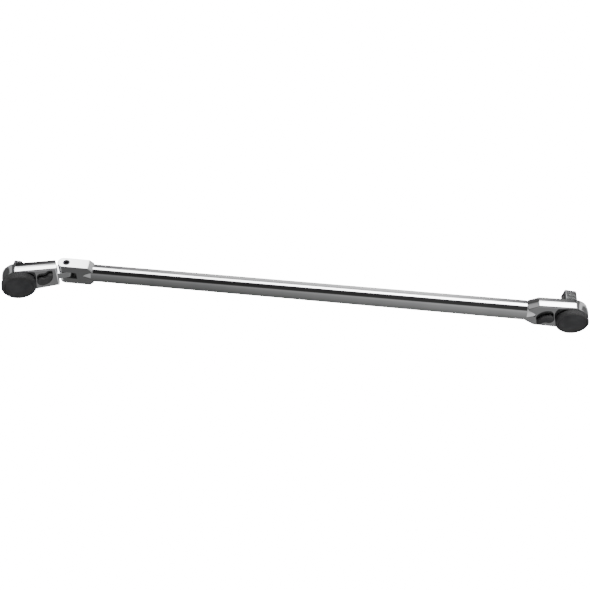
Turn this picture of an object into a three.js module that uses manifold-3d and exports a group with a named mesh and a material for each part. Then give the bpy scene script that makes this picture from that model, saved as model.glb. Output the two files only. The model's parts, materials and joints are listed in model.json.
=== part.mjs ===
// Double-ended ratchet wrench: a 1/4 inch flex head and a 3/8 inch fixed head on one bar.
// Millimetres. +X runs along the bar from the flex head to the fixed head, +Z is the flex
// hinge's axis, the thumb discs face -Y and the drive squares point to +Y.
import * as THREE from 'three';
import { mergeVertices } from 'three/addons/utils/BufferGeometryUtils.js';
import Module from 'manifold-3d';

const wasm = await Module();
wasm.setup();

// ---- driving dimensions ----
const HINGE_TO_FIXED_DRIVE = 386;
const HINGE_TO_FLEX_DRIVE = 37.1;
const REST_BEND = THREE.MathUtils.degToRad(16.4);
const GAP = 0.3;
const ROUND = 48;
const DISC_SIDES = 60;

const BAR = { startR: 6.6, endR: 7.5, startX: 19, endX: 351, endConeX: 360, tuckR: 4.4 };
const CLEVIS = { earTip: -6.8, end: 17, halfThick: 4.6, halfWide: 9.7, chamfer: 3.1, edge: 0.5 };
const SLOT = { halfGap: 3.35, end: 7.5 };
const TONGUE = { halfThick: 3.05, radius: 4.3, hole: 2.25 };
const HINGE_SCREW = { shankR: 2, headR: 2.5, headHeight: 2.2, hexR: 1.6, hexDepth: 1.5, inset: 0.25 };
const DETENT = { tipR: 1.3, length: 4.6, boreR: 1.6, boreEnd: 16, springTurns: 5 };

// Both heads share one mechanism. Head frame: origin on the drive axis in the middle of the
// body's thickness, +x towards the bar, +z towards the drive square.
const BODY = { half: 4.8, edge: 0.9 };
const CAVITY = { radius: 9.5, floor: 2.3 };
const GEAR = { teeth: 72, tip: 9, root: 8.5, back: -2.4, front: 2, hubR: 4.2, hubBack: -6.2 };
const COVER = { radius: 9.2, hole: 4.5, back: -3.4, front: -2.65 };
const RING = { inner: 8, outer: 10.1, back: -4.35, front: -3.7, mouth: 0.35, earR: 1.1, earHole: 0.5 };
const RING_GROOVE = { radius: 10.4, back: -4.5, front: -3.55 };
const PAWL = { pivot: 11.4, half: 2.15, middle: -0.15, rock: THREE.MathUtils.degToRad(5), pinR: 0.9 };
const PAWL_PIN = { back: -4, front: 4.5, hole: 1.2 };
const POCKET = { halfHeight: 2.45, middle: -0.15, clearance: 0.75 };
const SELECTOR = { centre: 17.5, shaftR: 2.8, boreR: 3.1, hubR: 3.9, bottom: 2, tailAngle: -45 };
const LEVER = { back: -8, front: -5.1, edge: 0.6 };
// The lever leaves its round hub and comes back to it in four curves: hollow side, tip, end, back.
const LEVER_CURVES = [
  { control: [3, -3], end: [4.9, -5.9] },
  { control: [6.1, -7.6], end: [7.7, -6.5] },
  { control: [8.8, -5.5], end: [8.2, -3.2] },
];
const LEVER_BACK = { control: [6.4, 2.6], hubFrom: 75, hubTo: 275 };
const PLUNGER = { radius: 0.9, reach: 4.25, length: 2.6, boreR: 1.15, springTurns: 3 };
const DISC = { front: -5.1, socketR: 4.5, socketDepth: 1.4, chamfer: 0.7, capR: 10.2, capThick: 0.5 };
const DISC_SCREW = { headR: 2.3, headHeight: 0.9, shankR: 1.2, hole: 1.5, inset: -2.9, boreEnd: -1.8 };
const SEAL = { tube: 0.4, grooveWidth: 1.5, grooveDepth: 0.95, middle: 3.55 };

const HEADS = {
  flex: {
    square: 6.35,
    stubEnd: 14.8,
    bossEnd: 6.2,
    journalR: 5.2,
    turn: 22,
    tipR: 12.4,
    neckHalf: 10.4,
    neckEnd: HINGE_TO_FLEX_DRIVE - 7.3,
    discR: 12.9,
    discBack: -10.4,
    lift: -0.5,
    ballR: 1.2,
  },
  fixed: {
    square: 9.525,
    stubEnd: 19.8,
    bossEnd: 6.7,
    journalR: 6.9,
    turn: 6,
    tipR: 13,
    neckHalf: 12.2,
    neckEnd: 27.2,
    discR: 12.35,
    discBack: -9.6,
    lift: -0.1,
    ballR: 1.6,
  },
};

// ---- solids ----
function toSolid(geometry) {
  const bare = geometry.clone();
  bare.deleteAttribute('normal');
  bare.deleteAttribute('uv');
  const merged = mergeVertices(bare, 1e-4);
  const corners = merged.index.array;
  const triangles = [];
  for (let i = 0; i < corners.length; i += 3) {
    const [a, b, c] = [corners[i], corners[i + 1], corners[i + 2]];
    if (a !== b && b !== c && c !== a) {
      triangles.push(a, b, c);
    }
  }
  const mesh = new wasm.Mesh({
    numProp: 3,
    vertProperties: new Float32Array(merged.attributes.position.array),
    triVerts: new Uint32Array(triangles),
  });
  return new wasm.Manifold(mesh);
}

function toGeometry(solid) {
  const mesh = solid.getMesh();
  const geometry = new THREE.BufferGeometry();
  geometry.setAttribute('position', new THREE.BufferAttribute(mesh.vertProperties, 3));
  geometry.setIndex(new THREE.BufferAttribute(mesh.triVerts, 1));
  geometry.computeVertexNormals();
  return geometry;
}

function cut(body, ...tools) {
  return tools.reduce((solid, tool) => solid.subtract(tool), body);
}

function join(body, ...others) {
  return others.reduce((solid, other) => solid.add(other), body);
}

// An outline in x and y, pulled along z, with its top and bottom edges chamfered by edge.
function slab(shape, z0, z1, edge = 0, curveSegments = 16) {
  const geometry = new THREE.ExtrudeGeometry(shape, {
    depth: z1 - z0 - 2 * edge,
    bevelEnabled: edge > 0,
    bevelThickness: edge,
    bevelSize: edge,
    bevelOffset: -edge,
    bevelSegments: 2,
    curveSegments,
  });
  return geometry.translate(0, 0, z0 + edge);
}

function rod(radius, z0, z1, segments = ROUND) {
  const geometry = new THREE.CylinderGeometry(radius, radius, z1 - z0, segments);
  return geometry.rotateX(Math.PI / 2).translate(0, 0, (z0 + z1) / 2);
}

// A profile of [radius, z] points turned about z. It goes up the outside, or around a ring.
function turned(profile, segments = ROUND) {
  const points = profile.map(([radius, z]) => new THREE.Vector2(radius, z));
  return new THREE.LatheGeometry(points, segments).rotateX(Math.PI / 2);
}

function circleShape(radius, x = 0, y = 0) {
  return new THREE.Shape().absarc(x, y, radius, 0, 2 * Math.PI, false);
}

function polygon(points) {
  return new THREE.Shape(points.map(([x, y]) => new THREE.Vector2(x, y)));
}

function box(x0, x1, y0, y1, z0, z1) {
  const geometry = new THREE.BoxGeometry(x1 - x0, y1 - y0, z1 - z0);
  return geometry.translate((x0 + x1) / 2, (y0 + y1) / 2, (z0 + z1) / 2);
}

// A turned or pulled shape along z, laid along +x.
function alongX(geometry) {
  return geometry.rotateY(Math.PI / 2);
}

class Helix extends THREE.Curve {
  constructor(radius, length, turns) {
    super();
    this.radius = radius;
    this.length = length;
    this.turns = turns;
  }

  getPoint(t, target = new THREE.Vector3()) {
    const angle = 2 * Math.PI * this.turns * t;
    return target.set(this.radius * Math.cos(angle), this.radius * Math.sin(angle), this.length * t);
  }
}

// A compression spring from z0 to z1 inside the given outer radius.
function spring(outerR, z0, z1, turns, wireR = 0.22) {
  const path = new Helix(outerR - wireR, z1 - z0 - 2 * wireR, turns);
  const wire = circleShape(wireR);
  const geometry = new THREE.ExtrudeGeometry(wire, {
    steps: turns * 10,
    bevelEnabled: false,
    curveSegments: 3,
    extrudePath: path,
  });
  return geometry.translate(0, 0, z0 + wireR);
}

// ---- finishes ----
const finishes = {
  chrome: { color: 0xd8dadc, metalness: 1, roughness: 0.08 },
  blackPlastic: { color: 0x26282a, metalness: 0, roughness: 0.45 },
  blackOxide: { color: 0x17181a, metalness: 0.8, roughness: 0.4 },
  steel: { color: 0x9a9da0, metalness: 1, roughness: 0.35 },
  rubber: { color: 0x141414, metalness: 0, roughness: 0.8 },
};

function piece(name, geometry, finish) {
  const mesh = new THREE.Mesh(geometry, new THREE.MeshStandardMaterial(finishes[finish]));
  mesh.name = name;
  return mesh;
}

// ---- the bar: clevis, shank and fixed head are one forging ----
function clevisSolid() {
  const { earTip, end, halfThick, halfWide, chamfer, edge } = CLEVIS;
  const roundX = earTip + halfThick;
  const plan = new THREE.Shape();
  plan.moveTo(end + chamfer, -halfThick);
  plan.lineTo(end + chamfer, halfThick);
  plan.lineTo(roundX, halfThick);
  plan.absarc(roundX, 0, halfThick, Math.PI / 2, 1.5 * Math.PI, false);
  const block = toSolid(slab(plan, -halfWide, halfWide, edge));
  const side = polygon([
    [end, halfWide + 1],
    [end + chamfer + 1, halfWide - chamfer - 1],
    [end + chamfer + 1, halfWide + 1],
  ]);
  const above = toSolid(slab(side, -halfThick - 1, halfThick + 1).rotateX(Math.PI / 2));
  const below = above.mirror([0, 0, 1]);
  return cut(block, above, below);
}

function hingeHoles() {
  const { halfWide } = CLEVIS;
  const { shankR, headR, headHeight, inset } = HINGE_SCREW;
  const seat = halfWide - inset - headHeight - GAP;
  const shank = toSolid(rod(shankR + 0.25, -halfWide - 1, halfWide + 1, 24));
  const head = toSolid(rod(headR + 0.2, seat, halfWide + 1, 24));
  return join(shank, head);
}

function barSolid() {
  const { startR, endR, startX, endX, endConeX, tuckR } = BAR;
  const tuckX = CLEVIS.end - 5;
  const profile = [
    [0, tuckX],
    [tuckR, tuckX],
    [startR, startX],
    [endR, endX],
    [tuckR, endConeX],
    [0, endConeX],
  ];
  return toSolid(alongX(turned(profile)));
}

// A round tip about the drive axis, and a neck that tapers to neckHalf. The points after the
// neck are the shoulder on the +y side, and are mirrored on the other side.
function headOutline({ tipR, neckHalf, neckEnd }, shoulder = []) {
  const tangent = Math.acos((tipR - neckHalf) / neckEnd);
  const outline = new THREE.Shape();
  const side = [...shoulder, [neckEnd, neckHalf], [tipR * Math.cos(tangent), tipR * Math.sin(tangent)]];
  outline.moveTo(...side[0]);
  side.slice(1).forEach(([x, y]) => outline.lineTo(x, y));
  outline.absarc(0, 0, tipR, tangent, 2 * Math.PI - tangent, false);
  side.slice(0, -1).reverse().forEach(([x, y]) => outline.lineTo(x, -y));
  return outline;
}

// Everything that is cut out of a head: gear cavity, ring groove, journal bore, pawl pocket,
// selector bore and the pawl pin's hole.
function headHollows({ journalR }) {
  const cavity = toSolid(rod(CAVITY.radius, -BODY.half - 1, CAVITY.floor, 64));
  const groove = toSolid(rod(RING_GROOVE.radius, RING_GROOVE.back, RING_GROOVE.front, 64));
  const journal = toSolid(rod(journalR + GAP, 0, BODY.half + 1));
  const pocket = pocketSolid();
  const selector = toSolid(rod(SELECTOR.boreR, -BODY.half - 1, SELECTOR.bottom + GAP, 32))
    .translate([SELECTOR.centre, 0, 0]);
  const pin = toSolid(rod(PAWL_PIN.hole, PAWL_PIN.back - 0.2, BODY.half + 1, 20))
    .translate([PAWL.pivot, 0, 0]);
  return join(cavity, groove, journal, pocket, selector, pin);
}

// ---- pawl ----
const PAWL_OUTLINE = [
  [6.9, 6.2],
  [7.7, 7.1],
  [12.4, 5.2],
  [14.2, 3.4],
];

function pawlShape() {
  const [inner, tip, back, heel] = PAWL_OUTLINE;
  const gearSide = Math.atan2(inner[1], inner[0]);
  const backR = Math.hypot(SELECTOR.centre - heel[0], heel[1]);
  const backAngle = Math.atan2(heel[1], heel[0] - SELECTOR.centre);
  const shape = new THREE.Shape();
  shape.moveTo(inner[0], -inner[1]);
  shape.lineTo(tip[0], -tip[1]);
  shape.lineTo(back[0], -back[1]);
  shape.lineTo(heel[0], -heel[1]);
  shape.absarc(SELECTOR.centre, 0, backR, -backAngle, backAngle, true);
  shape.lineTo(back[0], back[1]);
  shape.lineTo(tip[0], tip[1]);
  shape.lineTo(inner[0], inner[1]);
  shape.absarc(0, 0, Math.hypot(...inner), gearSide, -gearSide, true);
  return shape;
}

function gearShape(clearance = 0) {
  const tip = GEAR.tip + clearance;
  const root = GEAR.root + clearance;
  const pitch = (2 * Math.PI) / GEAR.teeth;
  const spread = clearance / GEAR.tip / pitch;
  const corners = [[-0.32 - spread, root], [-0.1 - spread, tip], [0.1 + spread, tip], [0.32 + spread, root]];
  const points = [];
  for (let tooth = 0; tooth < GEAR.teeth; tooth += 1) {
    for (const [offset, radius] of corners) {
      const angle = (tooth + offset) * pitch;
      points.push([radius * Math.cos(angle), radius * Math.sin(angle)]);
    }
  }
  return polygon(points);
}

function turnedAboutPivot(solid, angle) {
  const degrees = THREE.MathUtils.radToDeg(angle);
  return solid.translate([-PAWL.pivot, 0, 0]).rotate([0, 0, degrees]).translate([PAWL.pivot, 0, 0]);
}

// The pawl as it lies at rest: rocked so that its +y wing is in mesh with the gear. The teeth
// of each wing are what the gear leaves when the pawl is rocked that way.
function pawlSolid() {
  const blank = toSolid(slab(pawlShape(), PAWL.middle - PAWL.half, PAWL.middle + PAWL.half));
  const hole = toSolid(rod(PAWL.pinR + 0.25, -BODY.half, BODY.half, 20)).translate([PAWL.pivot, 0, 0]);
  const gear = toSolid(slab(gearShape(0.12), -BODY.half, BODY.half));
  const meshUp = turnedAboutPivot(gear, -PAWL.rock);
  const meshDown = turnedAboutPivot(gear, PAWL.rock);
  return turnedAboutPivot(cut(blank, hole, meshUp, meshDown), PAWL.rock);
}

// Room for the pawl to rock in, and for the plunger to swing with the selector's shaft.
function pocketSolid() {
  const low = POCKET.middle - POCKET.halfHeight;
  const high = POCKET.middle + POCKET.halfHeight;
  const [inner, tip, back, heel] = PAWL_OUTLINE;
  const room = POCKET.clearance;
  const outline = polygon([
    [inner[0] - 3, -tip[1] - room],
    [tip[0] + room, -tip[1] - room],
    [back[0] + room, -back[1] - room],
    [heel[0] + room, -heel[1] - room],
    [heel[0] + room, heel[1] + room],
    [back[0] + room, back[1] + room],
    [tip[0] + room, tip[1] + room],
    [inner[0] - 3, tip[1] + room],
  ]);
  const sweepR = PLUNGER.reach + 0.35;
  const sweepHalf = PLUNGER.radius + 0.35;
  const plungerRoom = toSolid(rod(sweepR, PAWL.middle - sweepHalf, PAWL.middle + sweepHalf, 32))
    .translate([SELECTOR.centre, 0, 0]);
  return join(toSolid(slab(outline, low, high)), plungerRoom);
}

// ---- selector ----
function leverShape() {
  const shape = new THREE.Shape();
  const r = SELECTOR.hubR;
  const start = THREE.MathUtils.degToRad(LEVER_BACK.hubFrom);
  const finish = THREE.MathUtils.degToRad(LEVER_BACK.hubTo);
  const hubStart = [r * Math.cos(start), r * Math.sin(start)];
  shape.moveTo(...hubStart);
  shape.absarc(0, 0, r, start, finish, false);
  LEVER_CURVES.forEach(({ control, end }) => shape.quadraticCurveTo(...control, ...end));
  shape.quadraticCurveTo(...LEVER_BACK.control, ...hubStart);
  return shape;
}

function selectorSolid() {
  const plate = toSolid(slab(leverShape(), LEVER.back, LEVER.front, LEVER.edge, 10));
  const shaft = toSolid(rod(SELECTOR.shaftR, LEVER.front - 0.5, SELECTOR.bottom, 32));
  const away = THREE.MathUtils.degToRad(SELECTOR.tailAngle + 180);
  const bore = toSolid(alongX(rod(PLUNGER.boreR, -SELECTOR.shaftR + 0.6, SELECTOR.shaftR + 1, 16)))
    .rotate([0, 0, THREE.MathUtils.radToDeg(away)])
    .translate([0, 0, PAWL.middle]);
  return cut(join(plate, shaft), bore);
}

function pawlPlunger() {
  const { radius, reach, length } = PLUNGER;
  const profile = [[0, reach - length], [radius, reach - length], [radius, reach - radius]];
  for (let step = 1; step <= 4; step += 1) {
    const angle = (step * Math.PI) / 8;
    profile.push([radius * Math.cos(angle), reach - radius + radius * Math.sin(angle)]);
  }
  profile[profile.length - 1][0] = 0;
  return alongX(turned(profile, 16));
}

// ---- drive ----
function squareShape(width, corner = 0.6) {
  const half = width / 2;
  const inner = half - corner;
  return polygon([
    [half, -inner], [half, inner], [inner, half], [-inner, half],
    [-half, inner], [-half, -inner], [-inner, -half], [inner, -half],
  ]);
}

function ballHeight({ stubEnd, square }) {
  return stubEnd - square / 2 + 0.4;
}

// The gear wheel, its journal, boss and square are one piece. The square is turned about the
// drive axis from the teeth, so the teeth stay in step with the pawl.
function driveSolid(head) {
  const { journalR, bossEnd, stubEnd, square, turn, ballR } = head;
  const { tip, back, front, hubR, hubBack } = GEAR;
  const teeth = toSolid(slab(gearShape(), back, front));
  const journal = toSolid(turned([
    [0, hubBack],
    [hubR - 0.3, hubBack],
    [hubR, hubBack + 0.3],
    [hubR, back + 0.1],
    [journalR, back + 0.1],
    [journalR, bossEnd - 0.4],
    [journalR - 0.4, bossEnd],
    [0, bossEnd],
  ]));
  const recess = toSolid(turned([[0, back - 1], [tip - 1.2, back - 1], [tip - 1.2, back + 0.5], [0, back + 0.5]]));
  const dish = cut(recess, toSolid(rod(hubR + 0.9, back - 2, back + 1)));
  const grooveR = journalR - SEAL.grooveDepth;
  const sealGroove = cut(
    toSolid(rod(journalR + 1, SEAL.middle - SEAL.grooveWidth / 2, SEAL.middle + SEAL.grooveWidth / 2)),
    toSolid(rod(grooveR, 0, BODY.half + 1)),
  );
  const stub = toSolid(slab(squareShape(square), bossEnd - 1, stubEnd, 0.5));
  const bore = toSolid(alongX(rod(ballR + 0.15, -square / 4, square, 20))).translate([0, 0, ballHeight(head)]);
  const drive = cut(stub, bore).rotate([0, 0, turn]);
  const screwHole = toSolid(rod(DISC_SCREW.hole, hubBack - 1, DISC_SCREW.boreEnd, 20));
  return join(cut(join(teeth, journal), dish, sealGroove, screwHole), drive);
}

function sealGeometry({ journalR }) {
  const middleR = journalR - SEAL.tube + 0.05;
  const points = [];
  for (let step = 0; step <= 8; step += 1) {
    const angle = (step * Math.PI) / 4;
    points.push([middleR + SEAL.tube * Math.cos(angle), SEAL.middle + SEAL.tube * Math.sin(angle)]);
  }
  return turned(points, 40);
}

// ---- covers, disc and screws ----
function coverSolid() {
  const plate = toSolid(rod(COVER.radius, COVER.back, COVER.front));
  return cut(plate, toSolid(rod(COVER.hole, COVER.back - 1, COVER.front + 1, 32)));
}

// A C-shaped ring whose two ends carry eyes for pliers.
function ringSolid() {
  const { inner, outer, back, front, mouth, earR, earHole } = RING;
  const shape = new THREE.Shape();
  shape.absarc(0, 0, outer, mouth, 2 * Math.PI - mouth, false);
  shape.absarc(0, 0, inner, 2 * Math.PI - mouth, mouth, true);
  let ring = toSolid(slab(shape, back, front, 0, 24));
  for (const side of [-1, 1]) {
    const x = (inner - 0.3) * Math.cos(mouth + 0.1);
    const y = side * (inner - 0.3) * Math.sin(mouth + 0.1);
    const eye = toSolid(rod(earR, back, front, 20)).translate([x, y, 0]);
    const hole = toSolid(rod(earHole, back - 1, front + 1, 12)).translate([x, y, 0]);
    ring = cut(join(ring, eye), hole);
  }
  return ring;
}

function discSolid({ discR, discBack }) {
  const { front, chamfer, capR, capThick, socketR, socketDepth } = DISC;
  const { headR, headHeight, shankR } = DISC_SCREW;
  const body = turned([
    [0, discBack],
    [discR - chamfer, discBack],
    [discR - 0.2, discBack + 0.35],
    [discR, discBack + chamfer],
    [discR, front - 0.4],
    [discR - 0.4, front],
    [0, front],
  ], DISC_SIDES);
  const capSeat = discBack + 0.2 + capThick + 0.2;
  const headSeat = capSeat + headHeight + 0.3;
  const capRecess = toSolid(rod(capR + 0.25, discBack - 1, capSeat, DISC_SIDES));
  const headRecess = toSolid(rod(headR + 0.3, discBack, headSeat, 24));
  const through = toSolid(rod(shankR + 0.25, discBack, front + 1, 20));
  const socket = toSolid(rod(socketR, front - socketDepth, front + 1, 32));
  return cut(toSolid(body), capRecess, headRecess, through, socket);
}

function capGeometry({ discBack }) {
  const z0 = discBack + 0.2;
  const z1 = z0 + DISC.capThick;
  return turned([[0, z0], [DISC.capR - 0.2, z0], [DISC.capR, z0 + 0.2], [DISC.capR, z1], [0, z1]], DISC_SIDES);
}

function hexSocket(radius, z0, z1) {
  return toSolid(rod(radius, z0, z1, 6));
}

function discScrewSolid({ discBack }) {
  const headBack = discBack + 0.2 + DISC.capThick + 0.4;
  const headFront = headBack + DISC_SCREW.headHeight;
  const head = toSolid(rod(DISC_SCREW.headR, headBack, headFront, 24));
  const shank = toSolid(rod(DISC_SCREW.shankR, headFront - 0.1, DISC_SCREW.inset, 20));
  return cut(join(head, shank), hexSocket(1.1, headBack - 1, headBack + 0.6));
}

// ---- one complete head, without its body ----
function mechanism(prefix, head) {
  const { square, turn, ballR } = head;
  const parts = [];
  const add = (name, geometry, finish, place = () => {}) => {
    const mesh = piece(`${prefix}_${name}`, geometry, finish);
    place(mesh);
    parts.push(mesh);
  };
  const turnAngle = THREE.MathUtils.degToRad(turn);
  const tail = THREE.MathUtils.degToRad(SELECTOR.tailAngle + 180);
  const onSquare = (mesh) => {
    mesh.rotation.z = turnAngle;
    mesh.position.z = ballHeight(head);
  };
  const inShaft = (mesh) => {
    mesh.rotation.z = tail;
    mesh.position.set(SELECTOR.centre, 0, PAWL.middle);
  };
  const onNeck = (mesh) => mesh.position.set(SELECTOR.centre, 0, 0);
  const ballX = square / 2 - ballR + 0.55;
  const ball = new THREE.SphereGeometry(ballR, 20, 14).translate(ballX, 0, 0);
  const ballSpring = alongX(spring(ballR - 0.1, -square / 4 + 0.25, ballX - ballR - 0.25, 3));
  const shaftSpring = alongX(
    spring(PLUNGER.radius, -SELECTOR.shaftR + 0.85, PLUNGER.reach - PLUNGER.length - 0.25, PLUNGER.springTurns),
  );

  add('drive_gear', toGeometry(driveSolid(head)), 'steel');
  add('drive_seal', sealGeometry(head), 'rubber');
  add('square_ball', ball, 'steel', onSquare);
  add('square_ball_spring', ballSpring, 'steel', onSquare);
  add('cover_plate', toGeometry(coverSolid()), 'steel');
  add('retaining_ring', toGeometry(ringSolid()), 'blackOxide');
  add('pawl', toGeometry(pawlSolid()), 'steel');
  add('pawl_pin', rod(PAWL.pinR, PAWL_PIN.back, PAWL_PIN.front, 20).translate(PAWL.pivot, 0, 0), 'steel');
  add('selector_lever', toGeometry(selectorSolid()), 'blackPlastic', onNeck);
  add('pawl_plunger', pawlPlunger(), 'steel', inShaft);
  add('plunger_spring', shaftSpring, 'steel', inShaft);
  add('thumb_disc', toGeometry(discSolid(head)), 'blackPlastic');
  add('disc_screw', toGeometry(discScrewSolid(head)), 'blackOxide');
  add('disc_cap', capGeometry(head), 'blackPlastic');
  return parts;
}

// ---- head placement in the tool's frame ----
function headGroup(head, towardsBar, driveSide, driveX, driveY) {
  const group = new THREE.Group();
  const across = new THREE.Vector3().crossVectors(driveSide, towardsBar);
  const basis = new THREE.Matrix4().makeBasis(towardsBar, across, driveSide);
  group.quaternion.setFromRotationMatrix(basis);
  group.position.set(driveX, driveY, 0).addScaledVector(driveSide, head.lift);
  group.updateMatrixWorld(true);
  return group;
}

const cosBend = Math.cos(REST_BEND);
const sinBend = Math.sin(REST_BEND);
const flexGroup = headGroup(
  HEADS.flex,
  new THREE.Vector3(cosBend, sinBend, 0),
  new THREE.Vector3(-sinBend, cosBend, 0),
  -HINGE_TO_FLEX_DRIVE * cosBend,
  -HINGE_TO_FLEX_DRIVE * sinBend,
);
const fixedGroup = headGroup(
  HEADS.fixed,
  new THREE.Vector3(-1, 0, 0),
  new THREE.Vector3(0, 1, 0),
  HINGE_TO_FIXED_DRIVE,
  0,
);

// The tongue is pulled along the head's y, which is the hinge's axis.
function flexBodySolid() {
  const head = HEADS.flex;
  const outline = headOutline(head);
  const plate = toSolid(slab(outline, -BODY.half, BODY.half, BODY.edge, 24));
  const side = new THREE.Shape();
  const pinX = HINGE_TO_FLEX_DRIVE;
  side.moveTo(head.neckEnd - 4, -TONGUE.radius);
  side.lineTo(pinX, -TONGUE.radius);
  side.absarc(pinX, 0, TONGUE.radius, -Math.PI / 2, Math.PI / 2, false);
  side.lineTo(head.neckEnd - 4, TONGUE.radius);
  const tongue = toSolid(slab(side, -TONGUE.halfThick, TONGUE.halfThick).rotateX(Math.PI / 2))
    .translate([0, 0, -head.lift]);
  const pin = toSolid(rod(TONGUE.hole, -CLEVIS.halfWide, CLEVIS.halfWide, 24).rotateX(Math.PI / 2))
    .translate([pinX, 0, -head.lift]);
  return cut(join(plate, tongue), headHollows(head), pin);
}

function handleSolid() {
  const head = HEADS.fixed;
  const shoulderEnd = HINGE_TO_FIXED_DRIVE - BAR.endX;
  const outline = headOutline(head, [[shoulderEnd, BAR.endR]]);
  const plate = toSolid(slab(outline, -BODY.half, BODY.half, BODY.edge, 24));
  const toTool = fixedGroup.matrixWorld.toArray();
  const fixedPlate = plate.transform(toTool);
  const hollows = headHollows(head).transform(toTool);
  const slotStart = CLEVIS.earTip - 1;
  const slot = toSolid(box(slotStart, SLOT.end, -10, 10, -SLOT.halfGap, SLOT.halfGap));
  const detentBore = toSolid(alongX(rod(DETENT.boreR, SLOT.end - 1, DETENT.boreEnd, 20)));
  const forging = join(clevisSolid(), barSolid(), fixedPlate);
  return cut(forging, hollows, slot, hingeHoles(), detentBore);
}

function hingeScrewSolid() {
  const { shankR, headR, headHeight, hexR, hexDepth, inset } = HINGE_SCREW;
  const top = CLEVIS.halfWide - inset;
  const head = toSolid(rod(headR, top - headHeight, top, 24));
  const shank = toSolid(rod(shankR, -top, top - headHeight + 0.1, 24));
  return cut(join(head, shank), hexSocket(hexR, top - hexDepth, top + 1));
}

function detentPlunger() {
  const { tipR, length } = DETENT;
  const start = TONGUE.radius + GAP;
  const profile = [[0, start + length], [tipR, start + length], [tipR, start + tipR]];
  for (let step = 1; step <= 4; step += 1) {
    const angle = (step * Math.PI) / 8;
    profile.push([tipR * Math.cos(angle), start + tipR - tipR * Math.sin(angle)]);
  }
  profile[profile.length - 1][0] = 0;
  return alongX(turned(profile.reverse(), 20));
}

function detentSpring() {
  const start = TONGUE.radius + 2 * GAP + DETENT.length;
  return alongX(spring(DETENT.tipR, start, DETENT.boreEnd - GAP, DETENT.springTurns));
}

// ---- assembly ----
const tool = new THREE.Group();
tool.add(piece('handle_bar', toGeometry(handleSolid()), 'chrome'));
tool.add(piece('hinge_screw', toGeometry(hingeScrewSolid()), 'blackOxide'));
tool.add(piece('hinge_plunger', detentPlunger(), 'steel'));
tool.add(piece('hinge_spring', detentSpring(), 'steel'));
flexGroup.add(piece('flex_head_body', toGeometry(flexBodySolid()), 'chrome'));
flexGroup.add(...mechanism('flex', HEADS.flex));
fixedGroup.add(...mechanism('fixed', HEADS.fixed));
tool.add(flexGroup);
tool.add(fixedGroup);

// Stand the tool on its thin edge with the middle of its box's base at the origin.
tool.updateMatrixWorld(true);
const bounds = new THREE.Box3().setFromObject(tool, true);
const middle = bounds.getCenter(new THREE.Vector3());
tool.position.set(-middle.x, -middle.y, -bounds.min.z);

export default tool;
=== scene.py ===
"""Looks of the double-ended ratchet wrench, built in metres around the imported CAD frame."""
import json
import math

import bmesh
import bpy
from mathutils import Matrix, Vector


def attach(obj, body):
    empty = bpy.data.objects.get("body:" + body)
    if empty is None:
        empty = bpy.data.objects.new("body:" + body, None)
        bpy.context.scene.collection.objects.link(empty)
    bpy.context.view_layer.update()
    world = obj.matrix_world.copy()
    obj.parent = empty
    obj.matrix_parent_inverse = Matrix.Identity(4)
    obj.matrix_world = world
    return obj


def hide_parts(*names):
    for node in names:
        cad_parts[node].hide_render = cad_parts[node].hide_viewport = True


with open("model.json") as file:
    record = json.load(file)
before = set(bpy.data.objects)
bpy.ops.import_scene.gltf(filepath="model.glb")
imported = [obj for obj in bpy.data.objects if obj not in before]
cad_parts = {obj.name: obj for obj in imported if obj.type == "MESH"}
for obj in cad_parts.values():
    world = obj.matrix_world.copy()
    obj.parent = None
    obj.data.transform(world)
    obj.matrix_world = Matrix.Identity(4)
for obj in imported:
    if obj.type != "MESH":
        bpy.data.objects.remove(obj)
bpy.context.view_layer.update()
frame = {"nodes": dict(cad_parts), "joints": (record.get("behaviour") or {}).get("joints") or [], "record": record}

JOINTS = {joint["name"]: joint for joint in frame["joints"]}
MM = 0.001
WHOLE_TURN = 2 * math.pi

# ---- sizes in millimetres ----
CLEARANCE = 0.3
OVERCUT = 1  # how far a cutting tool passes the face that it leaves by
PAST_CLEVIS = 9
PAST_EARS = 12
AXIS_GAP = 0.002  # the radius of the smallest ring, which closes a turned body on its axis
BAR = {"start_r": 6.6, "end_r": 7.5, "start_x": 19, "end_x": 351, "cone_x": 360, "tuck_r": 4.4,
       "tuck": 5, "fillet": 1.6}
CLEVIS = {"tip": -6.8, "end": 17, "thick": 4.6, "wide": 9.7, "chamfer": 3.1, "round": 0.55}
SLOT = {"half": 3.35, "end": 7.5, "bore_r": 1.6, "bore_end": 16}
SCREW = {"shank_r": 2, "head_r": 2.5, "head_height": 2.2, "hex_r": 1.6, "hex_depth": 1.5, "inset": 0.25,
         "hole_gap": 0.25, "seat_gap": 0.2, "fillet": 0.25}
TONGUE = {"half": 3.05, "radius": 4.3, "hole": 2.25, "overlap": 4, "round": 0.3}
BODY = {"half": 4.8, "draft": 9, "front_round": 1.6, "back_round": 1.1, "crest_round": 14}
CAVITY = {"radius": 9.5, "floor": 2.3, "groove_r": 10.4, "groove_back": -4.5, "groove_front": -3.55}
POCKET = {"half": 2.45, "middle": -0.15, "sweep_r": 4.6, "sweep_half": 1.25}
POCKET_CORNERS = ((3.9, 7.85), (8.45, 7.85), (13.15, 5.95), (14.95, 4.15))
SELECTOR = {"centre": 17.5, "shaft_r": 2.8, "bore_r": 3.1, "hub_r": 3.9, "bottom": 2, "tail": -45}
LEVER = {"back": -8, "front": -5.1, "hub_from": 75, "hub_to": 275, "return": (6.4, 2.6),
         "round": 0.85, "overlap": 0.5, "bore_r": 1.15, "bore_wall": 0.6}
LEVER_CURVES = (((3, -3), (4.9, -5.9)), ((6.1, -7.6), (7.7, -6.5)), ((8.8, -5.5), (8.2, -3.2)))
PAWL_PIN = {"x": 11.4, "hole": 1.2, "back": -4.2}
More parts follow.
